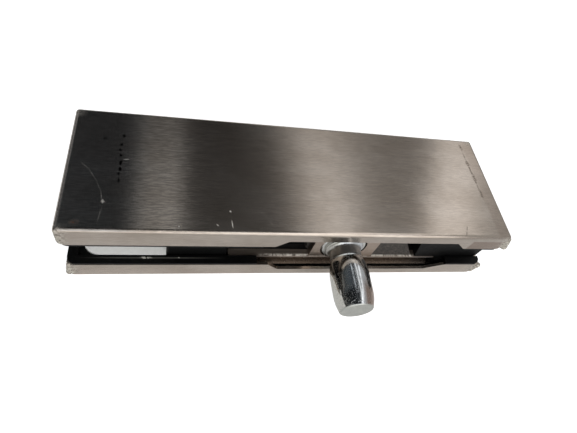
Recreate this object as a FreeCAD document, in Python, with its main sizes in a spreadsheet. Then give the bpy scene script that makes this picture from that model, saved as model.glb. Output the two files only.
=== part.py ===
import FreeCAD, Part
import math
import os
import Sketcher

# Glass patch fitting with a barrel pivot pin.
# Frame: the origin lies on the pin's axis, in the middle of the short
# cylindrical land round the pin's belly. X runs along the fitting, -Y points
# out of the pin's end, +Z is the front cover's normal, z = 0 is the middle of
# the glass.

V = FreeCAD.Vector
doc = FreeCAD.newDocument("patch_fitting")
sheet = doc.addObject("Spreadsheet::Sheet", "Sizes")

# alias, value in millimetres (or degrees, or a count), what it is
ROWS = [
    ("cover_left", 99.0, "covers: from the pin axis to the far end"),
    ("cover_right", 65.0, "covers: from the pin axis to the near end"),
    ("cover_near", 12.0, "covers: pin-side edge"),
    ("cover_width", 51.0, "covers: across the fitting"),
    ("cover_half", 16.0, "half of the thickness over the covers"),
    ("flange", 8.85, "depth of the covers' flanges"),
    ("gauge", 1.2, "stainless sheet"),
    ("bend", 1.5, "outer radius of the folds"),
    ("corner", 1.2, "outer radius of the ground corners"),
    ("flange_round", 2.7, "front cover: rounding where two free edges meet at a corner"),
    ("flange_nick", 0.8, "rear cover: the same rounding"),
    ("notch_left", 29.1, "notch, mouth, left of the axis"),
    ("notch_right", 47.6, "notch, mouth, right of the axis"),
    ("notch_ramp", 4.4, "run of the notch's sloping ends"),
    ("notch_slow", 8.4, "rear cover: run of the notch's right end"),
    ("notch_depth", 3.85, "depth of the notch"),
    ("notch_round", 1.2, "radius in the notch's inner corners"),
    ("glass", 12.0, "glass thickness"),
    ("pad", 1.5, "gasket thickness"),
    ("cover_seat", 0.2, "clearance between a body and its cover"),
    ("near_gap", 1.7, "clearance between a body and the pin-side flange"),
    ("lip_in", 0.1, "bodies: how far the lip stays inside the covers' outline"),
    ("lip_wide", 3.3, "bodies: width of the lip"),
    ("lip_round", 2.9, "bodies: radius of the lip's outer corners"),
    ("lip_half", 6.2, "bodies: half the distance between the two lips"),
    ("lip_play", 0.1, "clearance between a lip and the free edge over it"),
    ("lip_left", 33.5, "bodies: the lip stops here, left of the axis"),
    ("lip_right", 48.2, "bodies: the lip starts again here, right of the axis"),
    ("boss_left", 66.2, "boss: left end, from the axis"),
    ("boss_right", 64.8, "boss: right end, nearly flush with the covers"),
    ("boss_near", 16.0, "boss: front wall"),
    ("boss_far", 45.0, "boss: back wall"),
    ("boss_top", 6.9, "boss: top, just under the front body"),
    ("rim_half", 6.2, "half height of the boss where it passes the covers"),
    ("pocket_left", 45.0, "pocket for the bracket, left end"),
    ("pocket_low", 34.7, "pocket: right end, at the rear"),
    ("pocket_high", 31.3, "pocket: right end, at the front"),
    ("pocket_far", 37.0, "pocket: back wall"),
    ("pocket_step", 21.2, "pocket: back wall of its shallow left part"),
    ("pocket_turn", 13.6, "pocket: right end of its shallow part, left of the axis"),
    ("cast_round", 1.0, "radius of the casting's edges"),
    ("leg_left", 44.0, "bracket: left end"),
    ("leg_right", 44.0, "bracket: right end"),
    ("leg_far", 36.5, "bracket: end of the legs"),
    ("leg_wall", 2.6, "bodies: wall between a leg of the bracket and the cover"),
    ("plate", 3.0, "bracket: sheet thickness"),
    ("plate_bend", 4.5, "bracket: outer radius of the folds"),
    ("window_half", 7.4, "bracket: half height of the side windows"),
    ("web_left", 12.4, "bracket: the web's left edge"),
    ("web_right", 14.2, "bracket: the web's right edge"),
    ("web_hole", 18.6, "bracket: diameter of the pin hole"),
    ("recess_play", 0.3, "clearance round the bracket's legs"),
    ("block_left", 12.9, "bearing block: left end"),
    ("block_right", 30.8, "bearing block: right end"),
    ("step_low", 32.7, "bearing block: right end of the raised face, at the rear"),
    ("step_high", 23.6, "bearing block: right end of the raised face, at the front"),
    ("step_sink", 0.6, "bearing block: raised face, behind the bracket's face"),
    ("step_play", 0.3, "bearing block: raised face, clearance in the window"),
    ("block_depth", 13.0, "bearing block: along the pin"),
    ("bush_bore", 10.04, "bush: bore diameter"),
    ("bush_body", 14.0, "bush: outer diameter"),
    ("bush_collar", 17.6, "bush: collar diameter"),
    ("bush_rim", 1.8, "bush: collar thickness"),
    ("washer", 1.2, "thrust washer thickness"),
    ("washer_bore", 10.3, "thrust washer bore"),
    ("pin_reach", 9.85, "pin: from the origin to its free end"),
    ("pin_end", 12.7, "pin: diameter at the free end"),
    ("pin_edge", 0.7, "pin: rounding of the free end"),
    ("pin_belly", 14.9, "pin: diameter of the land"),
    ("pin_land", 3.0, "pin: half length of the land"),
    ("pin_shoulder", 12.7, "pin: diameter above the shoulder band"),
    ("pin_band", 9.7, "pin: start of the shoulder band"),
    ("pin_neck", 12.1, "pin: neck diameter"),
    ("pin_neck_at", 10.4, "pin: start of the neck"),
    ("pin_fillet", 1.1, "pin: fillet between the neck and the base"),
    ("pin_base", 15.0, "pin: diameter of the stepped base"),
    ("pin_base_at", 15.0, "pin: start of the stepped base"),
    ("shank", 10.0, "pin: shank diameter"),
    ("tail_washer", 1.2, "end washer thickness"),
    ("tail_play", 1.0, "end washer: clearance to the bracket's legs"),
    ("ring", 1.0, "retaining ring thickness"),
    ("ring_wide", 14.4, "retaining ring diameter"),
    ("groove", 9.6, "groove diameter in the shank"),
    ("screw", 6.0, "clamp screw thread diameter"),
    ("screw_head", 10.0, "clamp screw head diameter"),
    ("screw_head_tall", 4.0, "clamp screw head height"),
    ("screw_foot", 4.2, "clamp screws: how far they end above the rear body's underside"),
    ("screw_key", 4.0, "clamp screw key size"),
    ("screw_left", 57.0, "clamp screws: left pair, from the axis"),
    ("screw_right", 51.0, "clamp screws: right pair, from the axis"),
    ("screw_near", 23.5, "clamp screws: near pair"),
    ("screw_step", 14.0, "clamp screws: distance between near and far"),
    ("seat_wide", 11.0, "counterbore diameter"),
    ("seat_deep", 5.0, "counterbore depth"),
    ("spring", 0.8, "clamp washer thickness"),
    ("hole_play", 0.2, "clearance on a screw hole's diameter"),
    ("small", 4.0, "bracket screw thread diameter"),
    ("small_head", 7.5, "bracket screw head diameter"),
    ("small_cone", 1.75, "block screw: depth of the countersunk head"),
    ("small_sink", 0.4, "bracket screw: how far its flat head lies under the body"),
    ("small_key", 2.5, "bracket screw key size"),
    ("small_first", 16.0, "bracket screws: first one, right of the axis"),
    ("small_step", 11.0, "bracket screws: distance between them"),
    ("small_at", 26.0, "bracket screws: along the pin"),
    ("rear_long", 11.0, "bracket screw length, rear body into the block"),
    ("front_long", 8.0, "block screw length, front leg into the block"),
    ("grub_long", 4.0, "bush screw length"),
    ("dowel", 4.0, "locating pin diameter"),
    ("dowel_at", 63.0, "locating pins: left one, from the axis"),
    ("dowel_row", 30.5, "locating pins: row"),
    ("dowel_step", 119.0, "locating pins: distance between them"),
    ("dowel_deep", 5.0, "locating pins: depth in the boss"),
    ("leaf", 0.6, "clip: spring steel thickness"),
    ("clip_wide", 12.0, "clip: width"),
    ("clip_edge", 1.25, "clip: wall of the body above and below it"),
    ("clip_deep", 3.0, "clip: depth"),
    ("clip_first", 82.0, "clips: first one, left of the axis"),
    ("clip_step", 62.0, "clips: distance between them"),
    ("clip_count", 3.0, "clips along the far side"),
    ("pad_ends", 4.4, "gasket: distance from the covers' ends"),
    ("pad_near", 3.6, "gasket: distance from the covers' pin-side edge"),
    ("pad_far", 3.8, "gasket: distance from the covers' far edge"),
    ("pad_gap", 0.3, "gasket: clearance to the boss"),
    ("pad_round", 6.4, "gasket: radius of its outer corners"),
]


class Size:
    """A length with the expression that it comes from."""

    def __init__(self, text, value):
        self.text = text
        self.value = value

    @staticmethod
    def of(other):
        if isinstance(other, Size):
            return other
        return Size(repr(float(other)), float(other))

    def _join(self, sign, other, value):
        return Size("(" + self.text + " " + sign + " " + other.text + ")", value)

    def __add__(self, other):
        other = Size.of(other)
        return self._join("+", other, self.value + other.value)

    def __radd__(self, other):
        return Size.of(other) + self

    def __sub__(self, other):
        other = Size.of(other)
        return self._join("-", other, self.value - other.value)

    def __rsub__(self, other):
        return Size.of(other) - self

    def __mul__(self, other):
        other = Size.of(other)
        return self._join("*", other, self.value * other.value)

    def __truediv__(self, other):
        other = Size.of(other)
        return self._join("/", other, self.value / other.value)

    def __neg__(self):
        return Size("(-1 * " + self.text + ")", -self.value)


class Names:
    pass


S = Names()
for number, (alias, value, note) in enumerate(ROWS, start=1):
    sheet.set("A%d" % number, alias)
    sheet.set("B%d" % number, "%g" % value)
    sheet.set("C%d" % number, note)
    sheet.setAlias("B%d" % number, alias)
    setattr(S, alias, Size("Sizes." + alias, value))
doc.recompute()

# Heights that several pieces share
face = S.glass / 2 + S.pad              # clamp faces of the two bodies
inner = S.cover_half - S.gauge          # inner side of a cover
edge = S.cover_half - S.flange          # free edge of a flange
outer = inner - S.cover_seat            # outer side of a body
cover_far = S.cover_near + S.cover_width
leg_half = outer - S.leg_wall           # outer side of a leg of the bracket


def body(label):
    made = doc.addObject("PartDesign::Body", label)
    made.Label = label
    made.AllowCompound = True
    return made


def bind(thing, path, size):
    size = Size.of(size)
    thing.setExpression(path, size.text)


ROLES = {"XY": "XY_Plane", "XZ": "XZ_Plane", "YZ": "YZ_Plane"}
COUNT = {"n": 0}


def sketch_on(owner, plane, at):
    """A sketch parallel to one of the body's own planes, at a given place
    along that plane's axis. XZ looks along +Y, so its normal is -Y."""
    COUNT["n"] += 1
    made = owner.newObject("Sketcher::SketchObject", "Outline%03d" % COUNT["n"])
    base = [f for f in owner.Origin.OriginFeatures if f.Role == ROLES[plane]][0]
    made.AttachmentSupport = [(base, "")]
    made.MapMode = "FlatFace"
    at = Size.of(at)
    if plane == "XZ":
        at = -at
    made.AttachmentOffset = FreeCAD.Placement(V(0, 0, at.value), FreeCAD.Rotation())
    bind(made, "AttachmentOffset.Base.z", at)
    return made


def fix(sketch, geo, pos, x, y):
    """Holds one point at x, y, measured from the sketch's origin."""
    for kind, axis, size in (("DistanceX", -2, Size.of(x)), ("DistanceY", -1, Size.of(y))):
        if abs(size.value) < 1e-9:
            sketch.addConstraint(Sketcher.Constraint("PointOnObject", geo, pos, axis))
        elif size.value > 0:
            n = sketch.addConstraint(Sketcher.Constraint(kind, -1, 1, geo, pos, size.value))
            bind(sketch, "Constraints[%d]" % n, size)
        else:
            n = sketch.addConstraint(Sketcher.Constraint(kind, geo, pos, -1, 1, -size.value))
            bind(sketch, "Constraints[%d]" % n, -size)


def outline(sketch, points, bulges=()):
    """A closed outline through points. bulges maps a side's number to the
    radius of an arc that takes the place of the straight side; a negative
    radius bends the other way."""
    bulges = dict(bulges)
    count = len(points)
    pts = [(Size.of(x), Size.of(y)) for x, y in points]
    ends = []
    for i in range(count):
        a = V(pts[i][0].value, pts[i][1].value, 0)
        b = V(pts[(i + 1) % count][0].value, pts[(i + 1) % count][1].value, 0)
        if i in bulges:
            radius = Size.of(bulges[i])
            r = abs(radius.value)
            middle = (a + b) * 0.5
            along = b - a
            half = along.Length / 2
            side = V(-along.y, along.x, 0).normalize()
            away = math.sqrt(max(r * r - half * half, 0.0))
            # a positive radius keeps the centre on the left of the side
            sign = 1.0 if radius.value > 0 else -1.0
            centre = middle + side * (away * sign)
            start = math.atan2(a.y - centre.y, a.x - centre.x)
            stop = math.atan2(b.y - centre.y, b.x - centre.x)
            circle = Part.Circle(centre, V(0, 0, 1), r)
            if sign > 0:
                g = sketch.addGeometry(Part.ArcOfCircle(circle, start, stop), False)
                ends.append((g, 1, 2))
            else:
                g = sketch.addGeometry(Part.ArcOfCircle(circle, stop, start), False)
                ends.append((g, 2, 1))
            n = sketch.addConstraint(Sketcher.Constraint("Radius", g, r))
            bind(sketch, "Constraints[%d]" % n, radius if sign > 0 else -radius)
        else:
            g = sketch.addGeometry(Part.LineSegment(a, b), False)
            ends.append((g, 1, 2))
    for i in range(count):
        here, after = ends[i], ends[(i + 1) % count]
        sketch.addConstraint(Sketcher.Constraint("Coincident", here[0], here[2], after[0], after[1]))
    for i in range(count):
        fix(sketch, ends[i][0], ends[i][1], pts[i][0], pts[i][1])
    return sketch


def box(x0, x1, y0, y1):
    return [(x0, y0), (x1, y0), (x1, y1), (x0, y1)]


def ring(sketch, x, y, wide):
    x, y, wide = Size.of(x), Size.of(y), Size.of(wide)
    g = sketch.addGeometry(Part.Circle(V(x.value, y.value, 0), V(0, 0, 1), wide.value / 2), False)
    n = sketch.addConstraint(Sketcher.Constraint("Diameter", g, wide.value))
    bind(sketch, "Constraints[%d]" % n, wide)
    fix(sketch, g, 3, x, y)


def pad(owner, plane, start, stop, draw):
    """Adds material between two places along the plane's axis."""
    start, stop = Size.of(start), Size.of(stop)
    sketch = sketch_on(owner, plane, start)
    draw(sketch)
    made = owner.newObject("PartDesign::Pad", "Pad%03d" % COUNT["n"])
    made.Profile = sketch
    made.Length = (stop - start).value
    bind(made, "Length", stop - start)
    made.Reversed = plane == "XZ"
    owner.Tip = made
    doc.recompute()
    return made


def cut(owner, plane, start, stop, draw):
    """Takes material away between two places along the plane's axis."""
    before = owner.Shape.Volume
    start, stop = Size.of(start), Size.of(stop)
    sketch = sketch_on(owner, plane, start)
    draw(sketch)
    made = owner.newObject("PartDesign::Pocket", "Pocket%03d" % COUNT["n"])
    made.Profile = sketch
    made.Length = (stop - start).value
    bind(made, "Length", stop - start)
    made.Reversed = plane != "XZ"
    owner.Tip = made
    doc.recompute()
    if not owner.Shape.Volume < before - 1e-6:
        raise RuntimeError("a pocket of %s cuts nothing" % owner.Label)
    return made


def turn(owner, points, bulges=(), hollow=False, plane="XY", axis="V_Axis", degrees=360.0):
    """Turns a closed outline round the sketch's vertical axis."""
    sketch = sketch_on(owner, plane, 0)
    outline(sketch, points, bulges)
    made = owner.newObject("PartDesign::Groove" if hollow else "PartDesign::Revolution", "Turned%03d" % COUNT["n"])
    made.Profile = sketch
    made.ReferenceAxis = (sketch, [axis])
    made.Angle = degrees
    owner.Tip = made
    doc.recompute()
    return made


def chosen(feature, test):
    names = []
    for number, e in enumerate(feature.Shape.Edges, start=1):
        span = e.LastParameter - e.FirstParameter
        middle = e.valueAt(e.FirstParameter + span / 2)
        way = V(0, 0, 0)
        if len(e.Vertexes) == 2 and isinstance(e.Curve, Part.Line):
            way = (e.Vertexes[1].Point - e.Vertexes[0].Point).normalize()
        if test(middle, way, e):
            names.append("Edge%d" % number)
    if not names:
        raise RuntimeError("no edge found on " + feature.Name)
    return names


def soften(owner, radius, test, bevel=False):
    """Rounds (or bevels) the edges that the test picks."""
    base = owner.Tip
    kind = "PartDesign::Chamfer" if bevel else "PartDesign::Fillet"
    COUNT["n"] += 1
    made = owner.newObject(kind, "Edges%03d" % COUNT["n"])
    made.Base = (base, chosen(base, test))
    path = "Size" if bevel else "Radius"
    setattr(made, path, Size.of(radius).value)
    bind(made, path, radius)
    owner.Tip = made
    doc.recompute()
    return made


def repeat(owner, way, step, count):
    """Repeats the whole piece along X (way H) or along Y (way V)."""
    made = owner.newObject("PartDesign::LinearPattern", "Repeat%03d" % COUNT["n"])
    made.TransformMode = "Whole shape"
    made.Direction = (sketch_on(owner, "XY", 0), [{"H": "H_Axis", "V": "V_Axis"}[way]])
    made.Mode = "Spacing"
    made.Offset = Size.of(step).value
    bind(made, "Offset", step)
    made.Occurrences = int(count)
    owner.Tip = made
    doc.recompute()
    return made


def close(a, b, tol=0.02):
    return abs(a - Size.of(b).value) < tol


PIECES = []


def keep(made):
    PIECES.append(made)
    return made


def flange_corner(made, plane, end, side, mouth, sign, start, stop):
    """Takes the square corner off one end of a flange's free edge. side is
    the way from the end into the flange, sign the way into the cover."""
    r = S.flange_round if sign > 0 else S.flange_nick
    points = [
        (end - side * 1.0, mouth - sign * 1.0),
        (end + r * side, mouth - sign * 1.0),
        (end + r * side, mouth),
        (end, mouth + r * sign),
        (end - side * 1.0, mouth + r * sign),
    ]
    bulge = -r
    if side * sign < 0:
        points = points[::-1]
        cut(made, plane, start, stop, lambda s: outline(s, points, {1: bulge}))
    else:
        cut(made, plane, start, stop, lambda s: outline(s, points, {2: bulge}))


# Covers: folded trays with ground corners and a notch in the pin-side flange.
# sign is +1 for the front and -1 for the rear.
def cover(label, sign):
    made = body(label)
    low, high = (edge, S.cover_half) if sign > 0 else (-S.cover_half, -edge)
    pad(made, "XY", low, high, lambda s: outline(s, box(-S.cover_left, S.cover_right, S.cover_near, cover_far)))
    soften(made, S.corner, lambda m, w, e: abs(w.z) > 0.9)
    top = S.cover_half.value * sign
    soften(made, S.bend, lambda m, w, e: abs(m.z - top) < 0.02)
    low, high = (edge, inner) if sign > 0 else (-inner, -edge)
    cut(made, "XY", low, high, lambda s: outline(
        s, box(-S.cover_left + S.gauge, S.cover_right - S.gauge, S.cover_near + S.gauge, cover_far - S.gauge)))
    mouth = edge * sign
    floor = (edge + S.notch_depth) * sign
    # the notch runs a little past the free edge so that the cut is clean
    past = (edge - 1.0) * sign
    slope = S.notch_ramp if sign > 0 else S.notch_slow
    points = [
        (-S.notch_left, past),
        (S.notch_right, past),
        (S.notch_right, mouth),
        (S.notch_right - slope, floor),
        (-S.notch_left + S.notch_ramp, floor),
        (-S.notch_left, mouth),
    ]
    cut(made, "XZ", S.cover_near - 1.0, S.cover_near + S.gauge + 0.2, lambda s: outline(s, points))
    # the free edges are rounded where two flanges meet
    for x, side in ((-S.cover_left, 1), (S.cover_right, -1)):
        flange_corner(made, "XZ", x, side, mouth, sign, S.cover_near - 0.5, S.cover_near + S.gauge)
        flange_corner(made, "XZ", x, side, mouth, sign, cover_far - S.gauge, cover_far + 0.5)
    for y, side in ((S.cover_near, 1), (cover_far, -1)):
        flange_corner(made, "YZ", y, side, mouth, sign, -S.cover_left - 0.5, -S.cover_left + S.gauge)
        flange_corner(made, "YZ", y, side, mouth, sign, S.cover_right - S.gauge, S.cover_right + 0.5)
    deep = floor.value
    soften(made, S.notch_round, lambda m, w, e: abs(w.y) > 0.9 and abs(m.z - deep) < 0.05
           and m.y < (S.cover_near + S.gauge).value and -S.notch_left.value < m.x < S.notch_right.value)
    return keep(made)


cover("front_cover", 1)
cover("rear_cover", -1)

# Where the body plates end, just inside the covers
plate_left = -S.cover_left + S.gauge + S.cover_seat
plate_right = S.cover_right - S.gauge - S.cover_seat
plate_near = S.cover_near + S.gauge + S.near_gap
plate_far = cover_far - S.gauge - S.cover_seat
dowel_low = S.boss_top - S.dowel_deep
clip_half = (outer - face) / 2 - S.clip_edge


def clamp_plate(label, sign):
    """The flat part of a body, with the slots for the clips."""
    made = body(label)
    low, high = (face, outer) if sign > 0 else (-outer, -face)
    pad(made, "XY", low, high, lambda s: outline(s, box(plate_left, plate_right, plate_near, plate_far)))
    soften(made, S.pad_round, lambda m, w, e: abs(w.z) > 0.9)
    return made


def lip(made, sign):
    """The lip over the covers' free edges, open at the notch and where the
    boss passes the near end."""
    out_box = box(-S.cover_left + S.lip_in, S.cover_right - S.lip_in, S.cover_near + S.lip_in, cover_far - S.lip_in)
    wide = S.lip_in + S.lip_wide
    in_box = box(-S.cover_left + wide, S.cover_right - wide, S.cover_near + wide, cover_far - wide)
    mid_box = box(plate_left, plate_right, plate_near, plate_far)
    for outside, deep in ((out_box, edge - S.lip_play), (mid_box, face + 0.5)):
        low, high = (S.lip_half, deep) if sign > 0 else (-deep, -S.lip_half)
        pad(made, "XY", low, high, lambda s: (outline(s, outside), outline(s, in_box)))
        if outside is out_box:
            soften(made, S.lip_round, lambda m, w, e: abs(w.z) > 0.9 and (
                close(m.x, -S.cover_left + S.lip_in) or close(m.x, S.cover_right - S.lip_in)))
    low, high = (S.lip_half, face) if sign > 0 else (-face, -S.lip_half)
    cut(made, "XY", low, high, lambda s: outline(
        s, box(-S.lip_left, S.lip_right, S.cover_near, S.cover_near + wide + 0.5)))
    cut(made, "XY", low, high, lambda s: outline(
        s, box(S.cover_right - wide - 0.5, S.cover_right, S.boss_near - S.pad_gap, S.boss_far + S.pad_gap)))


def leg_recess(made, sign):
    """Room for one leg of the bracket, open towards the pin side."""
    near = face - S.recess_play
    low, high = (near, leg_half) if sign > 0 else (-leg_half, -near)
    cut(made, "XY", low, high, lambda s: outline(
        s, box(-S.pocket_left, S.leg_right + S.recess_play, plate_near - 1.0, S.pocket_far)))


def clip_slots(made, sign):
    middle = (face + outer) / 2 * sign
    half = clip_half + 0.1
    for n in range(int(S.clip_count.value)):
        at = -S.clip_first + S.clip_step * n
        cut(made, "XY", middle - half, middle + half, lambda s: outline(
            s, box(at - S.clip_wide / 2 - 0.1, at + S.clip_wide / 2 + 0.1,
                   plate_far - S.clip_deep + S.cover_seat, plate_far + 1.0)))


# Front body: holds the screw heads
front = clamp_plate("front_body", 1)
lip(front, 1)
leg_recess(front, 1)
for x in (-S.screw_left, S.screw_right):
    for n in (0, 1):
        y = S.screw_near + S.screw_step * n
        cut(front, "XY", face, outer, lambda s: ring(s, x, y, S.screw + S.hole_play * 2))
        cut(front, "XY", outer - S.seat_deep, outer, lambda s: ring(s, x, y, S.seat_wide))
for n in (0, 1):
    cut(front, "XY", face, outer, lambda s: ring(s, -S.dowel_at + S.dowel_step * n, S.dowel_row, S.dowel))
clip_slots(front, 1)
soften(front, S.cast_round, lambda m, w, e: close(m.z, outer) and (
    close(m.y, plate_near) or close(m.x, plate_left) or close(m.x, plate_right)))
keep(front)

# Rear body: the same plate, with the boss that fills the cut-out of the glass
rear = clamp_plate("rear_body", -1)
lip(rear, -1)
pad(rear, "XY", -face - 1.0, S.boss_top, lambda s: outline(
    s, box(-S.boss_left, plate_right, S.boss_near, S.boss_far)))
pad(rear, "XY", -S.rim_half, S.rim_half, lambda s: outline(
    s, box(plate_right - 1.0, S.boss_right, S.boss_near, S.boss_far)))
soften(rear, S.cast_round, lambda m, w, e: abs(w.z) > 0.9 and close(m.y, S.boss_near)
       and (close(m.x, -S.boss_left) or close(m.x, S.boss_right)))
cut(rear, "XY", -face, S.boss_top, lambda s: outline(
    s, box(-S.pocket_left, -S.pocket_turn + 0.5, S.boss_near, S.pocket_step)))
cut(rear, "XZ", S.boss_near, S.pocket_far, lambda s: outline(s, [
    (-S.pocket_turn, -face), (S.pocket_low, -face), (S.pocket_high, S.boss_top), (-S.pocket_turn, S.boss_top)]))
leg_recess(rear, -1)
for x in (-S.screw_left, S.screw_right):
    for n in (0, 1):
        y = S.screw_near + S.screw_step * n
        cut(rear, "XY", -outer + 2.0, S.boss_top, lambda s: ring(s, x, y, S.screw + S.hole_play))
for n in (0, 1):
    cut(rear, "XY", dowel_low, S.boss_top,
        lambda s: ring(s, -S.dowel_at + S.dowel_step * n, S.dowel_row, S.dowel))
for n in (0, 1):
    x = S.small_first + S.small_step * n
    cut(rear, "XY", -outer, -leg_half, lambda s: ring(s, x, S.small_at, S.small_head + 0.4))
clip_slots(rear, -1)
soften(rear, S.cast_round, lambda m, w, e: close(m.z, -outer) and (
    close(m.y, plate_near) or close(m.x, plate_left) or close(m.x, plate_right)))
keep(rear)


# Gaskets: L-shaped pads on the clamp faces, clear of the boss
pad_left = -S.cover_left + S.pad_ends
pad_right = S.cover_right - S.pad_ends
pad_near = S.cover_near + S.pad_near
pad_far = cover_far - S.pad_far


def gasket(label, sign):
    made = body(label)
    low, high = (S.glass / 2, face) if sign > 0 else (-face, -S.glass / 2)
    points = [
        (pad_left, pad_near),
        (-S.boss_left - S.pad_gap, pad_near),
        (-S.boss_left - S.pad_gap, S.boss_far + S.pad_gap),
        (pad_right, S.boss_far + S.pad_gap),
        (pad_right, pad_far),
        (pad_left, pad_far),
    ]
    pad(made, "XY", low, high, lambda s: outline(s, points))
    soften(made, S.pad_round, lambda m, w, e: abs(w.z) > 0.9 and (
        close(m.x, pad_left) or close(m.x, pad_right) and close(m.y, pad_far)))
    return keep(made)


gasket("front_gasket", 1)
gasket("rear_gasket", -1)

# Bracket: a folded channel whose web carries the pin, open towards +Y
web = S.boss_near
made = body("pivot_bracket")
pad(made, "YZ", -S.leg_left, S.leg_right, lambda s: outline(
    s, box(web, S.leg_far, -leg_half, leg_half)))
soften(made, S.plate_bend, lambda m, w, e: abs(w.x) > 0.9 and close(m.y, web))
cut(made, "YZ", -S.leg_left - 1.0, S.leg_right + 1.0, lambda s: outline(
    s, box(web + S.plate, S.leg_far + 1.0, -leg_half + S.plate, leg_half - S.plate)))
soften(made, S.plate_bend - S.plate, lambda m, w, e: abs(w.x) > 0.9 and close(m.y, web + S.plate))
cut(made, "XZ", web - 1.0, web + S.plate + 0.5, lambda s: outline(
    s, box(-S.leg_left - 1.0, -S.web_left, -S.window_half, S.window_half)))
cut(made, "XZ", web - 1.0, web + S.plate + 0.5, lambda s: outline(
    s, box(S.web_right, S.leg_right + 1.0, -S.window_half, S.window_half)))
cut(made, "XZ", web - 1.0, web + S.plate + 1.0, lambda s: ring(s, 0, 0, S.web_hole))
for n in (0, 1):
    x = S.small_first + S.small_step * n
    for low, high in ((leg_half - S.plate, leg_half), (-leg_half, -leg_half + S.plate)):
        cut(made, "XY", low, high, lambda s: ring(s, x, S.small_at, S.small + S.hole_play))
soften(made, S.small_cone + 0.05, lambda m, w, e: isinstance(e.Curve, Part.Circle)
       and close(e.Curve.Radius, (S.small + S.hole_play) / 2) and close(e.Curve.Center.z, leg_half), bevel=True)
keep(made)

# Bearing block: rough casting between the legs, bored for the bush
made = body("bearing_block")
block_near = web + S.plate
block_far = block_near + S.block_depth
block_half = leg_half - S.plate
pad(made, "XY", -block_half, block_half, lambda s: outline(
    s, box(-S.block_left, S.block_right, block_near, block_far)))
soften(made, S.cast_round + 0.6, lambda m, w, e: abs(w.x) > 0.9 and m.y < block_near.value + 0.1)
soften(made, S.cast_round, lambda m, w, e: abs(w.z) > 0.9, bevel=True)
step_half = S.window_half - S.step_play
pad(made, "XZ", web + S.step_sink, block_near + 2.0, lambda s: outline(s, [
    (S.web_right + S.step_play, -step_half), (S.step_low, -step_half),
    (S.step_high, step_half), (S.web_right + S.step_play, step_half)]))
cut(made, "XZ", block_near - 1.0, block_far + 1.0, lambda s: ring(s, 0, 0, S.bush_body))
for n in (0, 1):
    x = S.small_first + S.small_step * n
    cut(made, "XY", -block_half, block_half, lambda s: ring(s, x, S.small_at, S.small + S.hole_play))
cut(made, "YZ", -S.block_left - 1.0, 0, lambda s: ring(s, S.small_at, 0, S.small + S.hole_play))
keep(made)

# Bush: collar in the web's hole, body in the block
collar_near = block_near - S.bush_rim
made = body("pivot_bush")
turn(made, [
    (S.bush_bore / 2, collar_near), (S.bush_collar / 2, collar_near), (S.bush_collar / 2, block_near),
    (S.bush_body / 2, block_near), (S.bush_body / 2, block_far), (S.bush_bore / 2, block_far)])
keep(made)

# Thrust washer on the collar
base_far = collar_near - S.washer
made = body("thrust_washer")
turn(made, [
    (S.washer_bore / 2, base_far), (S.bush_collar / 2 - 0.3, base_far), (S.bush_collar / 2, base_far + 0.3),
    (S.bush_collar / 2, collar_near), (S.washer_bore / 2, collar_near)])
keep(made)

# Pin: barrel, neck, stepped base and shank with a groove for the ring
tail = block_far + S.tail_washer
tail_half = block_half - S.tail_play    # end washer, outer radius
groove_far = tail + S.ring + 0.1
pin_tail = groove_far + 1.4


def swell(drop, run):
    """Radius of an arc that leaves the land straight on and falls by drop over run."""
    return (drop * drop + run * run) / (drop * 2)


front_swell = swell((S.pin_belly - S.pin_end) / 2, S.pin_reach - S.pin_edge - S.pin_land)
back_swell = swell((S.pin_belly - S.pin_shoulder) / 2, S.pin_band - S.pin_land)
made = body("pivot_pin")
turn(made, [
    (0, -S.pin_reach),
    (S.pin_end / 2 - S.pin_edge, -S.pin_reach),
    (S.pin_end / 2, -S.pin_reach + S.pin_edge),
    (S.pin_belly / 2, -S.pin_land),
    (S.pin_belly / 2, S.pin_land),
    (S.pin_shoulder / 2, S.pin_band),
    (S.pin_neck / 2, S.pin_neck_at),
    (S.pin_neck / 2, S.pin_base_at - S.pin_fillet),
    (S.pin_base / 2 - 0.3, S.pin_base_at),
    (S.pin_base / 2, S.pin_base_at + 0.3),
    (S.pin_base / 2, base_far),
    (S.shank / 2, base_far),
    (S.shank / 2, tail),
    (S.groove / 2, tail),
    (S.groove / 2, groove_far),
    (S.shank / 2, groove_far),
    (S.shank / 2, pin_tail - 0.5),
    (S.shank / 2 - 0.5, pin_tail),
    (0, pin_tail),
], {1: 0.8, 2: front_swell, 4: back_swell, 7: -S.pin_fillet * 1.1})
keep(made)

# End washer and retaining ring behind the block
made = body("end_washer")
turn(made, [
    (S.bush_bore / 2, block_far), (tail_half, block_far),
    (tail_half, tail), (S.bush_bore / 2, tail)])
keep(made)

made = body("retaining_ring")
pad(made, "XZ", tail, tail + S.ring, lambda s: ring(s, 0, 0, S.ring_wide))
cut(made, "XZ", tail, tail + S.ring, lambda s: ring(s, 0, 0, S.groove + 0.04))
cut(made, "XZ", tail, tail + S.ring, lambda s: outline(
    s, box(-S.groove / 4, S.groove / 4, 0, S.ring_wide)))
keep(made)


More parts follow.
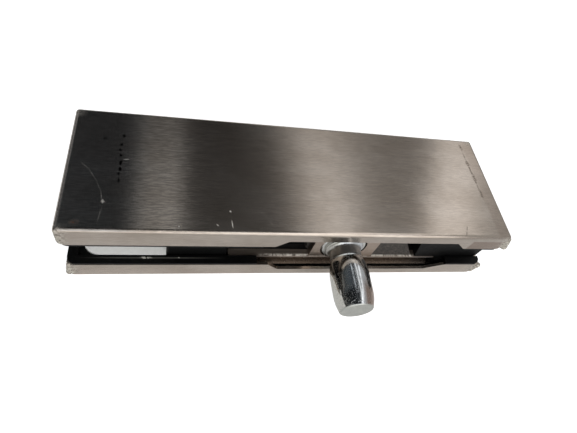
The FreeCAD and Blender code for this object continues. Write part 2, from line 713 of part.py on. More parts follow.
# Clamp screws and the washers under their heads
def on_axis(label, x, y, points, key=None, key_at=None, key_top=None):
    """A turned piece whose axis is parallel to Z, through x, y."""
    made = body(label)
    sketch = sketch_on(made, "XZ", y)
    outline(sketch, [(x + r, z) for r, z in points])
    axis = sketch.addGeometry(Part.LineSegment(V(Size.of(x).value, -30, 0), V(Size.of(x).value, 30, 0)), True)
    sketch.addConstraint(Sketcher.Constraint("Vertical", axis))
    fix(sketch, axis, 1, x, -30)
    n = sketch.addConstraint(Sketcher.Constraint("DistanceY", axis, 1, axis, 2, 60))
    turned = made.newObject("PartDesign::Revolution", "Turned%03d" % COUNT["n"])
    turned.Profile = sketch
    turned.ReferenceAxis = (sketch, ["Axis0"])
    turned.Angle = 360
    made.Tip = turned
    doc.recompute()
    if key is not None:
        # hexagon socket, its corners on a circle that the key size sets
        reach = Size.of(key) / math.sqrt(3.0)
        rise = math.sqrt(3.0) / 2
        corners = [(x + reach * a, y + reach * b) for a, b in (
            (1, 0), (0.5, rise), (-0.5, rise), (-1, 0), (-0.5, -rise), (0.5, -rise))]
        cut(made, "XY", key_at, key_top, lambda s: outline(s, corners))
    return made


seat = outer - S.seat_deep
under = seat + S.spring
screw_tip = -outer + S.screw_foot
left, right = -S.screw_left, S.screw_right
apart = S.screw_left + S.screw_right
made = on_axis("clamp_screws", left, S.screw_near, [
    (0, screw_tip), (S.screw / 2 - 0.6, screw_tip), (S.screw / 2, screw_tip + 0.6), (S.screw / 2, under),
    (S.screw_head / 2, under), (S.screw_head / 2, under + S.screw_head_tall - 0.4),
    (S.screw_head / 2 - 0.4, under + S.screw_head_tall), (0, under + S.screw_head_tall)],
    S.screw_key, under + 1.4, under + S.screw_head_tall + 0.2)
repeat(made, "H", apart, 2)
repeat(made, "V", S.screw_step, 2)
keep(made)

made = on_axis("clamp_washers", left, S.screw_near, [
    (S.screw / 2 + 0.1, seat), (S.screw_head / 2, seat), (S.screw_head / 2, under), (S.screw / 2 + 0.1, under)])
repeat(made, "H", apart, 2)
repeat(made, "V", S.screw_step, 2)
keep(made)

# Countersunk screws: rear body and leg into the block, front leg into the block
for label, sign, long in (("bracket_screws", -1, S.rear_long), ("block_screws", 1, S.front_long)):
    head = leg_half if sign > 0 else outer - S.small_sink
    if sign > 0:
        points = [(0, head - long), (S.small / 2, head - long), (S.small / 2, head - S.small_cone),
                  (S.small_head / 2, head), (0, head)]
        key = (head - 1.6, head + 0.1)
    else:
        points = [(0, -head), (S.small_head / 2, -head), (S.small_head / 2, -leg_half),
                  (S.small / 2, -leg_half), (S.small / 2, -head + long), (0, -head + long)]
        key = (-head - 0.1, -head + 1.4)
    made = on_axis(label, S.small_first, S.small_at, points, S.small_key, key[0], key[1])
    repeat(made, "H", S.small_step, 2)
    keep(made)

# Grub screw that keeps the bush in the block
made = body("bush_screw")
tip = -S.bush_body / 2
pad(made, "YZ", tip - S.grub_long, tip, lambda s: ring(s, S.small_at, 0, S.small))
keep(made)

# Dowels through the front body into the boss
made = on_axis("locating_pins", -S.dowel_at, S.dowel_row, [
    (0, dowel_low), (S.dowel / 2 - 0.03, dowel_low), (S.dowel / 2 - 0.03, outer - 0.5),
    (S.dowel / 2 - 0.5, outer), (0, outer)])
repeat(made, "H", S.dowel_step, 2)
keep(made)


# Spring clips between the bodies and the far flanges
def clips(label, sign):
    made = body(label)
    middle = (face + outer) / 2 * sign
    half = clip_half
    wall = cover_far - S.gauge
    back = wall - S.clip_deep
    points = [
        (wall, middle - half), (wall, middle + half), (back, middle + half), (back, middle - half),
        (wall - 1.4, middle - half), (wall - 1.4, middle - half + S.leaf), (back + S.leaf, middle - half + S.leaf),
        (back + S.leaf, middle + half - S.leaf), (wall - S.leaf, middle + half - S.leaf), (wall - S.leaf, middle - half),
    ]
    pad(made, "YZ", -S.clip_first - S.clip_wide / 2, -S.clip_first + S.clip_wide / 2, lambda s: outline(s, points))
    repeat(made, "H", S.clip_step, S.clip_count.value)
    return keep(made)


clips("front_cover_clips", 1)
clips("rear_cover_clips", -1)

# Every object must be sound before anything is written
doc.recompute()
for thing in doc.Objects:
    bad = [word for word in thing.State if word in ("Invalid", "Error")]
    if bad:
        raise RuntimeError("%s (%s) is %s" % (thing.Label, thing.Name, bad))
labels = [piece.Label for piece in PIECES]
if len(set(labels)) != len(labels):
    raise RuntimeError("two pieces share a name")
for piece in PIECES:
    shape = piece.Shape
    if shape.isNull() or not shape.isValid() or not shape.Solids:
        raise RuntimeError(piece.Label + " has no sound shape")

os.makedirs("parts", exist_ok=True)
for piece in PIECES:
    shape = piece.Shape
    print("%-18s solids %d  volume %9.1f mm3" % (piece.Label, len(shape.Solids), shape.Volume))
    shape.exportStep("parts/" + piece.Label + ".step")
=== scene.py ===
import math

import bpy
from mathutils import Matrix, Vector


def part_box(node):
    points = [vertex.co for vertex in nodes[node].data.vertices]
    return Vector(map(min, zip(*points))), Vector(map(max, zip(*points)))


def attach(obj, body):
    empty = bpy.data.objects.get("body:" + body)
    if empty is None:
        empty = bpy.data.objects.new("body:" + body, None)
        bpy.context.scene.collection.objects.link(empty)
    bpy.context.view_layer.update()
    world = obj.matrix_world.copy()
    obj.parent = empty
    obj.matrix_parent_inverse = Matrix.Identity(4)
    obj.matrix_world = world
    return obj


# Glass patch fitting: folded stainless covers over a black clamp, with a
# chromed barrel pin. Everything is in metres, in the part's own frame.

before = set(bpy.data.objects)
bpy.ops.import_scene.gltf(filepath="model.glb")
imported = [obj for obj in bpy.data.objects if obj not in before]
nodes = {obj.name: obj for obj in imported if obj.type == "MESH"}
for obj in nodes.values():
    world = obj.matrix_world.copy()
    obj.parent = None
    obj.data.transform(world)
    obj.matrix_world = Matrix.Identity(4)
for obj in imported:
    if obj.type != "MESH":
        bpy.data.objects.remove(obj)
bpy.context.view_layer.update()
scene = bpy.context.scene
scene.view_settings.view_transform = "Standard"
MM = 0.001
low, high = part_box("front_cover")
LEFT_END, NEAR_SIDE, FREE_EDGE = low
RIGHT_END, FAR_SIDE, OUTER_FACE = high
MATH = "ShaderNodeMath"
RANGE = "ShaderNodeMapRange"
RAMP = "ShaderNodeValToRGB"
SPLIT = "ShaderNodeSeparateXYZ"


def srgb(code):
    """A hex colour as the linear numbers that the shader wants."""
    parts = [int(code[i:i + 2], 16) / 255 for i in (1, 3, 5)]
    linear = [p / 12.92 if p <= 0.04045 else ((p + 0.055) / 1.055) ** 2.4 for p in parts]
    return (*linear, 1.0)


def grey(value):
    return (value, value, value, 1.0)


def feed(tree, node, inputs):
    """Gives a node its inputs: a list in their order, or a dict by name or
    number. Each is a link, a value or a hex colour."""
    for key, value in (inputs if isinstance(inputs, dict) else dict(enumerate(inputs))).items():
        if isinstance(value, bpy.types.NodeSocket):
            tree.links.new(value, node.inputs[key])
        else:
            node.inputs[key].default_value = srgb(value) if isinstance(value, str) else value


def add(tree, kind, inputs=(), out=0, stops=(), **settings):
    """Adds one node with its settings, a ramp's stops and its inputs. Returns
    one output, by name or number, or with None all of them."""
    node = tree.nodes.new(kind)
    for name, value in settings.items():
        setattr(node, name, value)
    if stops:
        elements = node.color_ramp.elements
        while len(elements) < len(stops):
            elements.new(0.5)
        for element, (at, colour) in zip(elements, stops):
            element.position = at
            element.color = srgb(colour) if isinstance(colour, str) else grey(colour)
    feed(tree, node, inputs)
    return node.outputs if out is None else node.outputs[out]


def all_of(tree, first, *masks):
    """Only what every mask lets through: they are multiplied."""
    for mask in masks:
        first = add(tree, MATH, [first, mask], operation="MULTIPLY")
    return first


def any_of(tree, first, *masks):
    """The strongest of several masks."""
    for mask in masks:
        first = add(tree, MATH, [first, mask], operation="MAXIMUM")
    return first


def summed(tree, total, *parts):
    """Adds parts to a value, each times its weight."""
    for part, weight in parts:
        total = add(tree, MATH, [total, all_of(tree, part, weight)], operation="ADD")
    return total


def strip(tree, axis, rising, falling):
    """1 between two edges and 0 outside. Each edge is given in millimetres, as
    where it leaves 0 and where it reaches 1."""
    return all_of(tree, *[add(tree, RANGE, [axis, start * MM, stop * MM])
                          for start, stop in (rising, falling)])


def coated(tree, colour, *coats):
    """Lays coats over a colour, one after the other. Each has its mask or
    strength, its own colour, and how it goes on."""
    for mask, coat, how in coats:
        colour = add(tree, "ShaderNodeMix", {0: mask, 6: colour, 7: coat}, 2,
                     data_type="RGBA", blend_type=how)
    return colour


def grains(tree, place, size, detail=2.0, roughness=0.5):
    """Noise whose grains are as far apart as size says, in millimetres."""
    if isinstance(size, (int, float)):
        size = (size, size, size)
    place = add(tree, "ShaderNodeMapping",
                {"Vector": place, "Scale": tuple(1 / (s * MM) for s in size)})
    return add(tree, "ShaderNodeTexNoise", {"Vector": place, "Scale": 1.0, "Detail": detail,
                                            "Roughness": roughness}, "Fac")


def patchy(tree, place, size, least, start, full):
    """Breaks a mark up: least where the noise is under start, 1 above full."""
    return add(tree, RAMP, [grains(tree, place, size, 3.0)], stops=[(start, least), (full, 1.0)])


def stroke(tree, place, x0, y0, x1, y1, wide):
    """A lens-shaped mark from one point to another on a face that looks
    along Z; sizes in millimetres. 1 on its middle line, 0 outside."""
    half = math.hypot(x1 - x0, y1 - y0) / 2
    local = add(tree, "ShaderNodeMapping", {
        "Vector": place, "Location": ((x0 + x1) / 2 * MM, (y0 + y1) / 2 * MM, 0),
        "Rotation": (0, 0, math.atan2(y1 - y0, x1 - x0)),
        "Scale": (half * MM, wide / 2 * MM, 1.0)}, vector_type="TEXTURE")
    flat = add(tree, "ShaderNodeVectorMath", [local, (1, 1, 0)], operation="MULTIPLY")
    return add(tree, "ShaderNodeTexGradient", [flat], "Fac", gradient_type="SPHERICAL")


def strokes(tree, place, marks):
    """The strongest of several marks, each x0, y0, x1, y1, width, strength."""
    return any_of(tree, *[all_of(tree, stroke(tree, place, *mark), strength)
                          for *mark, strength in marks])


def material(name):
    made = bpy.data.materials.new(name)
    made.use_nodes = True
    tree = made.node_tree
    return made, tree, add(tree, "ShaderNodeTexCoord", out="Object")


def surface(tree, inputs, relief=None, depth=0.0, strength=0.0):
    """Sets the shader, and its relief with a depth in millimetres."""
    if relief is not None:
        inputs["Normal"] = add(tree, "ShaderNodeBump", {"Height": relief, "Strength": strength,
                                                        "Distance": depth * MM})
    feed(tree, tree.nodes["Principled BSDF"], inputs)


def dress(names, made):
    for name in names:
        piece = nodes[name]
        piece.data.materials.clear()
        piece.data.materials.append(made)


# Handling marks on the front cover: fine bright scratches and nicks, a broken
# dark smear and two thin scores, and a rust spot; and a painted shade line
# near the right end, where the sheet starts to bend over
BRIGHT = [
    (-95.4, 39.4, -90.2, 34.6, 0.4, 0.30), (-92.6, 37.4, -87.6, 29.6, 0.4, 0.30),
    (-89.6, 33.6, -86.0, 25.0, 0.35, 0.25), (-87.2, 29.2, -85.5, 20.5, 0.4, 0.32),
    (-86.7, 23.2, -84.8, 22.7, 1.0, 0.7), (-85.9, 24.2, -85.7, 21.8, 1.0, 0.7),
    (-85.5, 23.0, -86.9, 12.9, 0.4, 0.28), (-81.5, 40.3, -78.8, 40.6, 0.45, 0.7),
    (-45.9, 21.0, -45.3, 20.2, 0.7, 1.5), (-45.4, 17.8, -44.9, 13.4, 0.45, 1.0),
    (-36.4, 22.0, -32.0, 17.4, 0.5, 0.26), (-33.0, 18.4, -30.6, 14.3, 0.5, 0.24),
    (-62.5, 14.6, -62.0, 14.0, 0.6, 0.9), (-50.6, 15.6, -49.4, 14.6, 0.6, 0.8),
]
DARK = [
    (-81.9, 52.2, -81.6, 49.7, 1.5, 0.9), (-82.3, 47.8, -82.2, 46.0, 1.3, 1.1),
    (-82.4, 45.6, -82.3, 43.6, 1.4, 1.1), (-82.2, 42.8, -82.0, 41.2, 1.3, 1.0),
    (-82.0, 40.6, -81.7, 37.4, 1.6, 1.0), (-81.9, 37.2, -81.8, 35.2, 1.4, 1.2),
    (-82.3, 35.0, -82.0, 33.4, 1.2, 1.0), (-81.8, 33.2, -81.9, 29.8, 0.9, 0.9),
    (-88.6, 49.6, -87.0, 49.2, 1.6, 0.9), (45.8, 17.8, 44.6, 14.6, 0.45, 0.7),
    (44.8, 15.2, 43.6, 12.4, 0.45, 0.7),
]
BEND_SHADE_LINES = [
    (57.6, 64.4, 58.6, 25.0, 1.2, 1.0), (57.8, 61.0, 58.2, 55.0, 2.0, 1.0),
    (57.8, 51.5, 58.2, 46.0, 2.6, 1.0), (58.2, 44.6, 58.5, 37.6, 2.2, 1.0),
    (58.3, 37.0, 58.6, 29.0, 2.2, 0.9),
]
RUST = (-95.0, 14.9, -91.0, 15.2, 2.6)


# Brushed stainless, type 304, number 4 finish: grain lines along the length,
# so that light smears across them; dulled by handling
def brushed_stainless():
    made, tree, place = material("brushed stainless sheet")
    x, y, z = add(tree, SPLIT, [place], None)
    # grain lines about 3 mm long, drawn 0.35 mm apart; real ones are under 0.1 mm
    fine = grains(tree, place, (3.0, 0.35, 0.35), 4.0, 0.65)
    broad = grains(tree, place, (8, 0.6, 0.6))
    shade = add(tree, RAMP, [broad], stops=[(0.3, 0.93), (0.7, 1.0)])
    # slow clouding of the finish, 10 to 20 mm across
    cloud = grains(tree, place, (18, 11, 11))
    tint = add(tree, RAMP, [cloud], stops=[(0.34, "#a79c91"), (0.66, "#b4aaa0")])
    # the lines show most on the left of the front cover's outer face
    face = add(tree, RANGE, [z, OUTER_FACE - 0.8 * MM, OUTER_FACE - 0.4 * MM])
    left = all_of(tree, add(tree, RANGE, [x, -44 * MM, -60 * MM]), face)
    grain = coated(tree, add(tree, RANGE, [fine, 0.34, 0.66, 0.80, 0.98]),
                   (left, add(tree, RANGE, [fine, 0.38, 0.62, 0.66, 1.08]), "MIX"))
    # painted reflection: the left end of the outer face is tinted cooler and a little darker
    cool_left_reflection = all_of(tree, add(tree, RANGE, [x, -72 * MM, -80 * MM]), face)
    # painted shade: darker beyond the line at the right end, and on the near flange right of the
    # notch
    dull = all_of(tree, add(tree, RANGE, [x, RIGHT_END - 6.8 * MM, RIGHT_END - 5.6 * MM]),
                  add(tree, RANGE, [z, OUTER_FACE - 0.4 * MM, OUTER_FACE - 0.1 * MM]), 0.3)
    notch_side_shade = all_of(tree, add(tree, RANGE, [x, 48.6 * MM, 49.2 * MM]),
                    add(tree, RANGE, [y, NEAR_SIDE + 0.4 * MM, NEAR_SIDE + 0.1 * MM]),
                    strip(tree, z, (13.2, 12.6), (0, 1)))
    # the outer face carries the marks
    top = add(tree, RANGE, [z, OUTER_FACE - 0.3 * MM, OUTER_FACE - 0.1 * MM])
    broken = patchy(tree, place, 0.8, 0.25, 0.38, 0.58)
    dark = add(tree, RANGE, [all_of(tree, strokes(tree, place, DARK), broken, top), 0.06, 0.40])
    # painted shade: a dark broken line across the outer face near the right end
    bend_shade = add(tree, RANGE, [all_of(tree, strokes(tree, place, BEND_SHADE_LINES), broken, top), 0.10, 0.70])
    bright = add(tree, RANGE, [all_of(tree, strokes(tree, place, BRIGHT), top), 0.06, 0.8])
    rust = add(tree, RANGE, [all_of(tree, stroke(tree, place, *RUST), top), 0.05, 0.9])
    rust = all_of(tree, rust, patchy(tree, place, 0.7, 0.2, 0.4, 0.6))
    # ground weld spots on the corners: paler and duller, about 6 mm across
    ends = any_of(tree, add(tree, RANGE, [x, RIGHT_END - 5.0 * MM, RIGHT_END - 1.4 * MM]),
                  add(tree, RANGE, [x, LEFT_END + 4.5 * MM, LEFT_END + 1.4 * MM]))
    sides = any_of(tree, add(tree, RANGE, [y, FAR_SIDE - 4.6 * MM, FAR_SIDE - 1.6 * MM]),
                   add(tree, RANGE, [y, NEAR_SIDE + 3.0 * MM, NEAR_SIDE + 0.6 * MM]))
    weld = all_of(tree, ends, sides, patchy(tree, place, 1.4, 0.2, 0.40, 0.60))
    ground = add(tree, RAMP, [grains(tree, place, 0.9, 3.0)],
                 stops=[(0.38, "#6e675f"), (0.52, "#aaa398"), (0.66, "#c8c3b8")])
    # of these coats, the cool tint at the left end is painted reflection, and the darker right
    # end, the flange beside the notch and the line near the right end are painted shade
    colour = coated(tree, tint,
                    (1.0, grain, "MULTIPLY"),
                    (0.6, shade, "MULTIPLY"),
                    (cool_left_reflection, "#f0f7ff", "MULTIPLY"),
                    (any_of(tree, dull, notch_side_shade), "#d0c4bd", "MULTIPLY"),
                    (dark, "#100c0a", "MIX"),
                    (bend_shade, "#5d5248", "MIX"),
                    (rust, "#5a2c12", "MIX"),
                    (all_of(tree, weld, 0.8), ground, "MIX"),
                    (bright, "#e2ded6", "MIX"))
    # rust, scratches and ground spots take some of the metal's shine away
    marks = any_of(tree, bright, all_of(tree, weld, 0.6))
    lost = any_of(tree, all_of(tree, rust, 0.5), all_of(tree, marks, 0.7))
    metal = add(tree, MATH, [1.0, lost], operation="SUBTRACT", use_clamp=True)
    rough = summed(tree, add(tree, RANGE, [broad, 0.3, 0.7, 0.185, 0.205]), (marks, 0.25))
    # the smear runs across the grain: along Y, and along Z on the long flanges
    facing = add(tree, SPLIT, [add(tree, "ShaderNodeTexCoord", out="Normal")], "Y")
    facing = add(tree, MATH, [facing], operation="ABSOLUTE")
    level = add(tree, MATH, [1.0, facing], operation="SUBTRACT")
    across = add(tree, "ShaderNodeCombineXYZ", [0.0, level, facing])
    # the sheet is slightly uneven towards the right end, waves 10 to 15 mm long
    wave = all_of(tree, grains(tree, place, (14, 10, 10), 1.0),
                  add(tree, RANGE, [x, 10 * MM, 30 * MM, 0.0, 5.0]))
    relief = summed(tree, all_of(tree, fine, 0.6), (bright, -1.5), (wave, 1.0))
    surface(tree, {"Base Color": colour, "Metallic": metal, "Roughness": rough,
                   "Anisotropic": 0.95, "Tangent": across}, relief, 0.02, 0.5)
    return made


# Black semi-matt paint on a die casting: soft dark sheen over a faint orange
# peel, with pale flecks and a painted highlight line along the lip's inner step
def black_casting():
    made, tree, place = material("black painted casting")
    x, _, z = add(tree, SPLIT, [place], None)
    peel = grains(tree, place, 1.1, 3.0)
    paint = add(tree, RAMP, [peel], stops=[(0.3, "#020202"), (0.7, "#060606")])
    # a painted highlight line 2 mm inside the near edge of the lip, and pale flecks along it
    line = stroke(tree, place, -97.5, 14.3, -43.0, 14.3, 0.55)
    flecks = strokes(tree, place, [(-76.5, 14.4, -70.5, 14.3, 1.2, 1.0),
                                   (-63.0, 14.4, -61.4, 14.4, 1.0, 1.0)])
    flecks = all_of(tree, flecks, patchy(tree, place, 0.7, 0.0, 0.42, 0.56))
    lip_highlight_and_flecks = summed(tree, add(tree, RANGE, [line, 0.02, 0.5, 0.0, 0.13]),
                    (add(tree, RANGE, [flecks, 0.1, 0.6, 0.0, 0.8]), 1.0))
    lip_highlight_and_flecks = all_of(tree, lip_highlight_and_flecks, strip(tree, z, (-6.6, -6.4), (-5.9, -6.1)))
    # the seat of the bracket's legs is machined bare, 4.5 mm below the clamp face
    deep = add(tree, MATH, [z], operation="ABSOLUTE")
    wide = add(tree, MATH, [x], operation="ABSOLUTE")
    seat = all_of(tree, strip(tree, deep, (11.90, 11.97), (12.10, 12.03)),
                  add(tree, RANGE, [wide, 45.2 * MM, 44.9 * MM]))
    colour = coated(tree, paint, (lip_highlight_and_flecks, "#cfccc4", "MIX"), (seat, "#938a81", "MIX"))
    rough = summed(tree, add(tree, RANGE, [peel, 0.3, 0.7, 0.48, 0.60]), (seat, -0.30))
    surface(tree, {"Base Color": colour, "Metallic": seat, "Roughness": rough,
                   "Specular IOR Level": 0.14}, peel, 0.06, 0.4)
    return made


# Pale fibre-filled rubber pad: matt, slightly speckled
def pale_pad():
    made, tree, place = material("pale rubber pad")
    speck = grains(tree, place, 1.4, 4.0)
    colour = add(tree, RAMP, [speck], stops=[(0.3, "#f3f3f0"), (0.7, "#fafaf8")])
    surface(tree, {"Base Color": colour, "Roughness": 0.8}, speck, 0.1, 0.4)
    return made


# Cold-rolled stainless plate, unpolished: warm grey on the outside of the web
# and its folds, with painted shade darkening the inside of the channel
def rolled_plate():
    made, tree, place = material("rolled stainless plate")
    x, y, z = add(tree, SPLIT, [place], None)
    streak = grains(tree, place, (8, 1.2, 1.2), 3.0)
    plate = add(tree, RAMP, [streak], stops=[(0.3, "#9a8c81"), (0.7, "#ad9f93")])
    inside = add(tree, RANGE, [y, 18.6 * MM, 19.4 * MM])
    channel_shade_tone = add(tree, RAMP, [grains(tree, place, 3.0, 3.0)],
                stops=[(0.3, "#242322"), (0.7, "#302e2d")])
    # the folds keep a dull mill skin; towards the ends they carry a painted
    # reflection in dark blue-grey
    deep = add(tree, MATH, [z], operation="ABSOLUTE")
    wide = add(tree, MATH, [x], operation="ABSOLUTE")
    folds = all_of(tree, add(tree, RANGE, [deep, 7.2 * MM, 8.2 * MM]), 0.75)
    ends = all_of(tree, add(tree, RANGE, [wide, 24 * MM, 40 * MM]), folds)
    # a painted highlight along the edge under each window, broken into flecks
    window_edge_highlight = all_of(tree, strip(tree, z, (-7.75, -7.45), (-7.15, -7.35)),
                  add(tree, RANGE, [y, 17.2 * MM, 16.6 * MM]),
                  strip(tree, x, (-33, -30), (35, 33)),
                  patchy(tree, place, (0.9, 3, 3), 0.15, 0.40, 0.55))
    # the dark inside of the channel is painted shade, the blue-grey ends of the folds a painted
    # reflection, and the pale edge under the windows a painted highlight
    colour = coated(tree, plate, (ends, "#55565a", "MIX"), (inside, channel_shade_tone, "MIX"),
                    (window_edge_highlight, "#f0e8dc", "MIX"))
    skin = any_of(tree, inside, window_edge_highlight, folds)
    metal = add(tree, MATH, [1.0, skin], operation="SUBTRACT", use_clamp=True)
    rough = add(tree, RANGE, [streak, 0.3, 0.7, 0.30, 0.42])
    surface(tree, {"Base Color": colour, "Metallic": metal, "Roughness": rough},
            streak, 0.02, 0.4)
    return made


# Sand-cast iron, bare: dark grey with grains about 0.5 mm across
def rough_casting():
    made, tree, place = material("rough grey casting")
    grain = grains(tree, place, 0.55, 4.0, 0.6)
    colour = add(tree, RAMP, [grain],
                 stops=[(0.38, "#1b1917"), (0.50, "#37332f"), (0.64, "#5c554e")])
    surface(tree, {"Base Color": colour, "Roughness": 0.7, "Metallic": 0.2}, grain, 0.25, 0.8)
    return made


# Bright chrome plate on steel: near-mirror, with corrosion pits 0.1 to 0.3 mm
# wide; the free end is faced and a little duller
def pitted_chrome():
    made, tree, place = material("pitted chrome plate")
    x, y, _ = add(tree, SPLIT, [place], None)
    spacing = 0.40 * MM
    cells = add(tree, "ShaderNodeTexVoronoi",
                {"Vector": place, "Scale": 1 / spacing, "Randomness": 1.0}, "Distance")
    # in patches, thicker towards the free end
    patches = summed(tree, grains(tree, place, 3.0),
                     (add(tree, RANGE, [y, 4.0 * MM, -9.0 * MM, 0.0, 0.14]), 1.0))
    pits = all_of(tree, add(tree, RANGE, [cells, 0.36, 0.10]),
                  add(tree, RANGE, [patches, 0.36, 0.54]))
    haze = grains(tree, place, 2.2, 3.0)
    # painted reflection: a little darker and warmer on the left of the barrel, and brownish
    # along its right
    left_flank_reflection = add(tree, RANGE, [x, -2.5 * MM, -4.5 * MM])
    brown_reflection = all_of(tree, add(tree, RANGE, [x, 0.6 * MM, 2.2 * MM]),
                 add(tree, RANGE, [y, 1.0 * MM, -4.0 * MM]), 0.9)
    end = add(tree, RANGE, [y, -9.1 * MM, -9.6 * MM])
    faced = add(tree, RAMP, [haze], stops=[(0.3, "#a3a49f"), (0.7, "#b6b7b1")])
    colour = coated(tree, "#c4c7c9", (left_flank_reflection, "#b1b0aa", "MIX"), (brown_reflection, "#857164", "MIX"),
                    (all_of(tree, pits, 0.6), "#5a5a5c", "MIX"), (end, faced, "MIX"))
    # pits, the faced end and the turned neck are rougher than the plating
    neck = add(tree, RANGE, [y, 10.2 * MM, 10.5 * MM])
    rough = summed(tree, add(tree, RANGE, [haze, 0.35, 0.65, 0.08, 0.14]),
                   (pits, 0.38), (end, 0.34), (neck, 0.20))
    relief = summed(tree, all_of(tree, haze, 0.25), (pits, -1.0))
    surface(tree, {"Base Color": colour, "Metallic": 1.0, "Roughness": rough},
            relief, 0.06, 0.6)
    return made


# Turned or drawn metal of the small parts inside: even and smooth, with a
# slight unevenness that keeps it from looking polished
def plain_metal(name, code, rough):
    made, tree, place = material(name)
    marks = grains(tree, place, 1.6, 3.0)
    rough = add(tree, RANGE, [marks, 0.3, 0.7, rough - 0.06, rough + 0.06])
    surface(tree, {"Base Color": code, "Metallic": 1.0, "Roughness": rough})
    return made


# Weld metal, ground back by hand: dull, pale, with darker pinholes
def ground_weld():
    made, tree, place = material("ground weld metal")
    lumps = grains(tree, place, 0.9, 4.0, 0.6)
    colour = add(tree, RAMP, [lumps],
                 stops=[(0.36, "#6b655d"), (0.48, "#a8a297"), (0.66, "#cfcabf")])
    rough = add(tree, RANGE, [lumps, 0.3, 0.7, 0.5, 0.34])
    surface(tree, {"Base Color": colour, "Metallic": 0.7, "Roughness": rough}, lumps, 0.15, 0.8)
    return made


dress(["front_cover", "rear_cover"], brushed_stainless())
dress(["front_body", "rear_body"], black_casting())
dress(["front_gasket", "rear_gasket"], pale_pad())
dress(["pivot_bracket"], rolled_plate())
dress(["bearing_block"], rough_casting())
dress(["pivot_pin"], pitted_chrome())
# brass is yellow and warm, the washers are brighter than the screws, and
# spring steel is the darkest
dress(["pivot_bush"], plain_metal("turned brass", "#b08f57", 0.3))
dress(["thrust_washer", "end_washer"], plain_metal("bright turned steel", "#c4c5c2", 0.22))
dress(["clamp_screws", "clamp_washers", "bracket_screws", "block_screws", "bush_screw",
       "locating_pins"], plain_metal("plain screw steel", "#8d8d90", 0.35))
dress(["retaining_ring", "front_cover_clips", "rear_cover_clips"],
      plain_metal("spring steel", "#55575c", 0.3))

# Ground weld beads up the corners of the covers: short lumps that follow each
# corner from the free edge to the fold, as a welder leaves them. Lengths are in
# millimetres
SPACING = 0.8         # from lump to lump
BEAD = 1.2            # radius of a lump
LUMPS = (0.88, 1.06)  # the least and the most that a radius is multiplied by
STRAY = 0.14          # how far a lump may lie off its line
INSET = 1.15          # from the corner in to the middle line
ROOT = 1.35           # from the free edge up to the first lump
CREST = 2.6           # from the outer face down to the last one
SEED = 3


def bead_tree():
    tree = bpy.data.node_groups.new("weld beads", "GeometryNodeTree")
    face = tree.interface
    face.new_socket("Geometry", in_out="INPUT", socket_type="NodeSocketGeometry")
    for name, kind, value in (("Spacing", "Float", SPACING * MM), ("Bead", "Float", BEAD * MM),
                              ("Seed", "Int", SEED)):
        socket = face.new_socket(name, in_out="INPUT", socket_type="NodeSocket" + kind)
        socket.default_value = value
    face.new_socket("Finish", in_out="INPUT", socket_type="NodeSocketMaterial")
    face.new_socket("Geometry", in_out="OUTPUT", socket_type="NodeSocketGeometry")
    given = add(tree, "NodeGroupInput", out=None)
    line = add(tree, "GeometryNodeMeshToCurve", {"Mesh": given["Geometry"]})
    line = add(tree, "GeometryNodeResampleCurve", {"Curve": line, "Length": given["Spacing"]},
               mode="LENGTH")
    shift = add(tree, "FunctionNodeRandomValue",
                {0: (-STRAY * MM,) * 3, 1: (STRAY * MM,) * 3, "Seed": given["Seed"]}, 0,
                data_type="FLOAT_VECTOR")
    line = add(tree, "GeometryNodeSetPosition", {"Geometry": line, "Offset": shift})
    ball = add(tree, "GeometryNodeMeshIcoSphere", {"Radius": given["Bead"], "Subdivisions": 3})
    size = add(tree, "FunctionNodeRandomValue",
               {2: LUMPS[0], 3: LUMPS[1], "Seed": given["Seed"]}, 1, data_type="FLOAT")
    row = add(tree, "GeometryNodeInstanceOnPoints",
              {"Points": line, "Instance": ball, "Scale": size})
    row = add(tree, "GeometryNodeRealizeInstances", {"Geometry": row})
    row = add(tree, "GeometryNodeSetShadeSmooth", [row])
    row = add(tree, "GeometryNodeSetMaterial", {"Geometry": row, "Material": given["Finish"]})
    add(tree, "NodeGroupOutput", {"Geometry": row}, None)
    return tree


def grown(name, points, edges, tree, **values):
    """Runs a tree on a wire and returns the result as a plain mesh."""
    wire = bpy.data.meshes.new(name + " wire")
    wire.from_pydata(points, edges, [])
    source = bpy.data.objects.new(name + " wire", wire)
    scene.collection.objects.link(source)
    modifier = source.modifiers.new("nodes", "NODES")
    modifier.node_group = tree
    for item in tree.interface.items_tree:
        if item.in_out == "INPUT" and item.name in values:
            modifier[item.identifier] = values[item.name]
    seen = source.evaluated_get(bpy.context.evaluated_depsgraph_get())
    made = bpy.data.objects.new(name, bpy.data.meshes.new_from_object(seen))
    scene.collection.objects.link(made)
    bpy.data.objects.remove(source)
    return made


near, far = NEAR_SIDE + INSET * MM, FAR_SIDE - INSET * MM
ends = {-1: LEFT_END + INSET * MM, 1: RIGHT_END - INSET * MM}
wires, pairs = [], []


def bead_line(cover, start, stop, crest=CREST):
    """One line up a corner, from x and y at the free edge to x and y at the
    fold. cover is 1 for the front one and -1 for the rear one."""
    pairs.append((len(wires), len(wires) + 1))
    wires.append((*start, cover * (FREE_EDGE + ROOT * MM)))
    wires.append((*stop, cover * (OUTER_FACE - crest * MM)))


for cover in (1, -1):
    for end in (-1, 1):
        for side in (near, far):
            bead_line(cover, (ends[end], side), (ends[end], side))
# Three pin-side corners were left proud: more runs outside the first. Each is
# the cover, the end, how far out at the free edge and at the fold, and its crest
PROUD = [(1, 1, 1.2, 0.72, 2.6), (1, 1, 2.2, 1.32, 4.1), (-1, -1, 0.2, 1.2, 2.6),
         (-1, 1, 1.6, 1.0, 2.8)]
